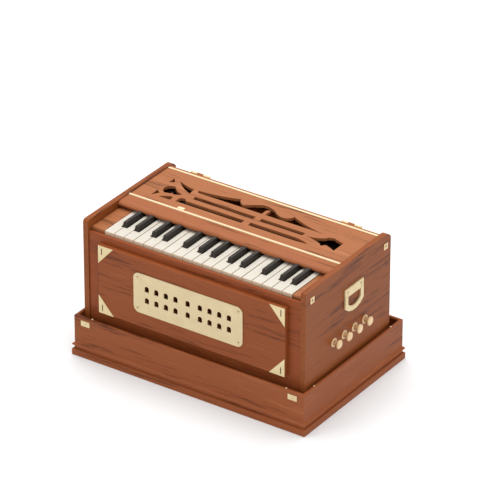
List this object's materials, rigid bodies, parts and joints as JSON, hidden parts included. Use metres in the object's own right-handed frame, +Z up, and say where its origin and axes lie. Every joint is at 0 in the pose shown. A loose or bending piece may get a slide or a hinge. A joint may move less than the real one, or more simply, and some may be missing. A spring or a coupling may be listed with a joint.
{
  "type": "harmonium",
  "caption": "Hand-pumped reed harmonium on a moulded base tray, with a short keyboard, fretwork hinged lid, brass sound grille, pull stops and folding carry handles.",
  "frame": {"origin": "centre of the plinth's underside", "axes": "+X along the keyboard to the bass-to-treble end with the stop knobs, -Y towards the player, +Z up"},
  "size_m": [0.515, 0.335, 0.2784],
  "materials": {
    "case_wood": "varnished red-brown wood",
    "top_wood": "varnished lighter brown wood",
    "inner_wood": "bare pale wood",
    "brass": "soft polished",
    "ivory_keys": "glossy cream",
    "dark_keys": "satin black",
    "pump_cloth": "matt folded skin"
  },
  "bodies": {
    "case": {"base_tray": "case_wood", "base_floor": "inner_wood", "left_side_panel": "case_wood", "right_side_panel": "case_wood", "front_wall": "case_wood", "front_board": "case_wood", "grille_plate": "brass", "rear_wall": "case_wood", "reed_board": "inner_wood", "wind_chest": "inner_wood", "balance_rail": "inner_wood", "key_rest_rail": "inner_wood", "left_key_block": "top_wood", "right_key_block": "top_wood", "fallboard": "top_wood", "lid_hinge_left": "brass", "lid_hinge_right": "brass", "handle_strap_right": "brass", "handle_strap_left": "brass", "pump_folds": "pump_cloth"},
    "lid": {"fret_lid": "top_wood", "lid_rear_rail": "top_wood"},
    "pump": {"pump_board": "case_wood"},
    "bail_right": {"handle_bail_right": "brass"},
    "bail_left": {"handle_bail_left": "brass"},
    "stop_1": {"stop_knob_1": "brass"},
    "stop_2": {"stop_knob_2": "brass"},
    "stop_3": {"stop_knob_3": "brass"},
    "stop_4": {"stop_knob_4": "brass"},
    "white_01": {"white_key_01": "ivory_keys"},
    "white_02": {"white_key_02": "ivory_keys"},
    "white_03": {"white_key_03": "ivory_keys"},
    "white_04": {"white_key_04": "ivory_keys"},
    "white_05": {"white_key_05": "ivory_keys"},
    "white_06": {"white_key_06": "ivory_keys"},
    "white_07": {"white_key_07": "ivory_keys"},
    "white_08": {"white_key_08": "ivory_keys"},
    "white_09": {"white_key_09": "ivory_keys"},
    "white_10": {"white_key_10": "ivory_keys"},
    "white_11": {"white_key_11": "ivory_keys"},
    "white_12": {"white_key_12": "ivory_keys"},
    "white_13": {"white_key_13": "ivory_keys"},
    "white_14": {"white_key_14": "ivory_keys"},
    "white_15": {"white_key_15": "ivory_keys"},
    "white_16": {"white_key_16": "ivory_keys"},
    "white_17": {"white_key_17": "ivory_keys"},
    "white_18": {"white_key_18": "ivory_keys"},
    "white_19": {"white_key_19": "ivory_keys"},
    "black_01": {"black_key_01": "dark_keys"},
    "black_02": {"black_key_02": "dark_keys"},
    "black_03": {"black_key_03": "dark_keys"},
    "black_04": {"black_key_04": "dark_keys"},
    "black_05": {"black_key_05": "dark_keys"},
    "black_06": {"black_key_06": "dark_keys"},
    "black_07": {"black_key_07": "dark_keys"},
    "black_08": {"black_key_08": "dark_keys"},
    "black_09": {"black_key_09": "dark_keys"},
    "black_10": {"black_key_10": "dark_keys"},
    "black_11": {"black_key_11": "dark_keys"},
    "black_12": {"black_key_12": "dark_keys"}
  },
  "joints": [
    {"name": "lid_hinge", "type": "hinge", "parent": "case", "child": "lid", "pos_m": [0, 0.1195, 0.2745], "axis": [-1, 0, 0], "range_deg": [0, 100]},
    {"name": "pump_hinge", "type": "hinge", "parent": "case", "child": "pump", "pos_m": [0, 0.1399, 0.09], "axis": [-1, 0, 0], "range_deg": [0, 20], "deforming": ["pump_folds"]},
    {"name": "bail_right_swing", "type": "hinge", "parent": "case", "child": "bail_right", "pos_m": [0.2448, 0.0095, 0.2122], "axis": [0, -1, 0], "range_deg": [0, 100]},
    {"name": "bail_left_swing", "type": "hinge", "parent": "case", "child": "bail_left", "pos_m": [-0.2448, 0.0095, 0.2122], "axis": [0, 1, 0], "range_deg": [0, 100]},
    {"name": "stop_1_pull", "type": "slide", "parent": "case", "child": "stop_1", "axis": [1, 0, 0], "range_m": [0, 0.02]},
    {"name": "stop_2_pull", "type": "slide", "parent": "case", "child": "stop_2", "axis": [1, 0, 0], "range_m": [0, 0.02]},
    {"name": "stop_3_pull", "type": "slide", "parent": "case", "child": "stop_3", "axis": [1, 0, 0], "range_m": [0, 0.02]},
    {"name": "stop_4_pull", "type": "slide", "parent": "case", "child": "stop_4", "axis": [1, 0, 0], "range_m": [0, 0.02]},
    {"name": "white_01_press", "type": "hinge", "parent": "case", "child": "white_01", "pos_m": [-0.19424, 0, 0.246], "axis": [1, 0, 0], "range_deg": [0, 3.2], "stiffness_Nm_per_rad": 0.2, "springref_deg": -17.19},
    {"name": "white_02_press", "type": "hinge", "parent": "case", "child": "white_02", "pos_m": [-0.16652, 0, 0.246], "axis": [1, 0, 0], "range_deg": [0, 3.2], "stiffness_Nm_per_rad": 0.2, "springref_deg": -17.19},
    {"name": "white_03_press", "type": "hinge", "parent": "case", "child": "white_03", "pos_m": [-0.14236, 0, 0.246], "axis": [1, 0, 0], "range_deg": [0, 3.2], "stiffness_Nm_per_rad": 0.2, "springref_deg": -17.19},
    {"name": "white_04_press", "type": "hinge", "parent": "case", "child": "white_04", "pos_m": [-0.1298, 0, 0.246], "axis": [1, 0, 0], "range_deg": [0, 3.2], "stiffness_Nm_per_rad": 0.2, "springref_deg": -17.19},
    {"name": "white_05_press", "type": "hinge", "parent": "case", "child": "white_05", "pos_m": [-0.10316, 0, 0.246], "axis": [1, 0, 0], "range_deg": [0, 3.2], "stiffness_Nm_per_rad": 0.2, "springref_deg": -17.19},
    {"name": "white_06_press", "type": "hinge", "parent": "case", "child": "white_06", "pos_m": [-0.07878, 0, 0.246], "axis": [1, 0, 0], "range_deg": [0, 3.2], "stiffness_Nm_per_rad": 0.2, "springref_deg": -17.19},
    {"name": "white_07_press", "type": "hinge", "parent": "case", "child": "white_07", "pos_m": [-0.063, 0, 0.246], "axis": [1, 0, 0], "range_deg": [0, 3.2], "stiffness_Nm_per_rad": 0.2, "springref_deg": -17.19},
    {"name": "white_08_press", "type": "hinge", "parent": "case", "child": "white_08", "pos_m": [-0.03515, 0, 0.246], "axis": [1, 0, 0], "range_deg": [0, 3.2], "stiffness_Nm_per_rad": 0.2, "springref_deg": -17.19},
    {"name": "white_09_press", "type": "hinge", "parent": "case", "child": "white_09", "pos_m": [-0.02475, 0, 0.246], "axis": [1, 0, 0], "range_deg": [0, 3.2], "stiffness_Nm_per_rad": 0.2, "springref_deg": -17.19},
    {"name": "white_10_press", "type": "hinge", "parent": "case", "child": "white_10", "pos_m": [0.00049, 0, 0.246], "axis": [1, 0, 0], "range_deg": [0, 3.2], "stiffness_Nm_per_rad": 0.2, "springref_deg": -17.19},
    {"name": "white_11_press", "type": "hinge", "parent": "case", "child": "white_11", "pos_m": [0.02756, 0, 0.246], "axis": [1, 0, 0], "range_deg": [0, 3.2], "stiffness_Nm_per_rad": 0.2, "springref_deg": -17.19},
    {"name": "white_12_press", "type": "hinge", "parent": "case", "child": "white_12", "pos_m": [0.0399, 0, 0.246], "axis": [1, 0, 0], "range_deg": [0, 3.2], "stiffness_Nm_per_rad": 0.2, "springref_deg": -17.19},
    {"name": "white_13_press", "type": "hinge", "parent": "case", "child": "white_13", "pos_m": [0.06525, 0, 0.246], "axis": [1, 0, 0], "range_deg": [0, 3.2], "stiffness_Nm_per_rad": 0.2, "springref_deg": -17.19},
    {"name": "white_14_press", "type": "hinge", "parent": "case", "child": "white_14", "pos_m": [0.09232, 0, 0.246], "axis": [1, 0, 0], "range_deg": [0, 3.2], "stiffness_Nm_per_rad": 0.2, "springref_deg": -17.19},
    {"name": "white_15_press", "type": "hinge", "parent": "case", "child": "white_15", "pos_m": [0.10908, 0, 0.246], "axis": [1, 0, 0], "range_deg": [0, 3.2], "stiffness_Nm_per_rad": 0.2, "springref_deg": -17.19},
    {"name": "white_16_press", "type": "hinge", "parent": "case", "child": "white_16", "pos_m": [0.13693, 0, 0.246], "axis": [1, 0, 0], "range_deg": [0, 3.2], "stiffness_Nm_per_rad": 0.2, "springref_deg": -17.19},
    {"name": "white_17_press", "type": "hinge", "parent": "case", "child": "white_17", "pos_m": [0.15002, 0, 0.246], "axis": [1, 0, 0], "range_deg": [0, 3.2], "stiffness_Nm_per_rad": 0.2, "springref_deg": -17.19},
    {"name": "white_18_press", "type": "hinge", "parent": "case", "child": "white_18", "pos_m": [0.17666, 0, 0.246], "axis": [1, 0, 0], "range_deg": [0, 3.2], "stiffness_Nm_per_rad": 0.2, "springref_deg": -17.19},
    {"name": "white_19_press", "type": "hinge", "parent": "case", "child": "white_19", "pos_m": [0.20136, 0, 0.246], "axis": [1, 0, 0], "range_deg": [0, 3.2], "stiffness_Nm_per_rad": 0.2, "springref_deg": -17.19},
    {"name": "black_01_press", "type": "hinge", "parent": "case", "child": "black_01", "pos_m": [-0.17977, 0, 0.246], "axis": [1, 0, 0], "range_deg": [0, 3.2], "stiffness_Nm_per_rad": 0.2, "springref_deg": -17.19},
    {"name": "black_02_press", "type": "hinge", "parent": "case", "child": "black_02", "pos_m": [-0.15327, 0, 0.246], "axis": [1, 0, 0], "range_deg": [0, 3.2], "stiffness_Nm_per_rad": 0.2, "springref_deg": -17.19},
    {"name": "black_03_press", "type": "hinge", "parent": "case", "child": "black_03", "pos_m": [-0.11555, 0, 0.246], "axis": [1, 0, 0], "range_deg": [0, 3.2], "stiffness_Nm_per_rad": 0.2, "springref_deg": -17.19},
    {"name": "black_04_press", "type": "hinge", "parent": "case", "child": "black_04", "pos_m": [-0.09077, 0, 0.246], "axis": [1, 0, 0], "range_deg": [0, 3.2], "stiffness_Nm_per_rad": 0.2, "springref_deg": -17.19},
    {"name": "black_05_press", "type": "hinge", "parent": "case", "child": "black_05", "pos_m": [-0.04659, 0, 0.246], "axis": [1, 0, 0], "range_deg": [0, 3.2], "stiffness_Nm_per_rad": 0.2, "springref_deg": -17.19},
    {"name": "black_06_press", "type": "hinge", "parent": "case", "child": "black_06", "pos_m": [-0.01319, 0, 0.246], "axis": [1, 0, 0], "range_deg": [0, 3.2], "stiffness_Nm_per_rad": 0.2, "springref_deg": -17.19},
    {"name": "black_07_press", "type": "hinge", "parent": "case", "child": "black_07", "pos_m": [0.01418, 0, 0.246], "axis": [1, 0, 0], "range_deg": [0, 3.2], "stiffness_Nm_per_rad": 0.2, "springref_deg": -17.19},
    {"name": "black_08_press", "type": "hinge", "parent": "case", "child": "black_08", "pos_m": [0.05146, 0, 0.246], "axis": [1, 0, 0], "range_deg": [0, 3.2], "stiffness_Nm_per_rad": 0.2, "springref_deg": -17.19},
    {"name": "black_09_press", "type": "hinge", "parent": "case", "child": "black_09", "pos_m": [0.07904, 0, 0.246], "axis": [1, 0, 0], "range_deg": [0, 3.2], "stiffness_Nm_per_rad": 0.2, "springref_deg": -17.19},
    {"name": "black_10_press", "type": "hinge", "parent": "case", "child": "black_10", "pos_m": [0.12516, 0, 0.246], "axis": [1, 0, 0], "range_deg": [0, 3.2], "stiffness_Nm_per_rad": 0.2, "springref_deg": -17.19},
    {"name": "black_11_press", "type": "hinge", "parent": "case", "child": "black_11", "pos_m": [0.16395, 0, 0.246], "axis": [1, 0, 0], "range_deg": [0, 3.2], "stiffness_Nm_per_rad": 0.2, "springref_deg": -17.19},
    {"name": "black_12_press", "type": "hinge", "parent": "case", "child": "black_12", "pos_m": [0.18938, 0, 0.246], "axis": [1, 0, 0], "range_deg": [0, 3.2], "stiffness_Nm_per_rad": 0.2, "springref_deg": -17.19}
  ]
}
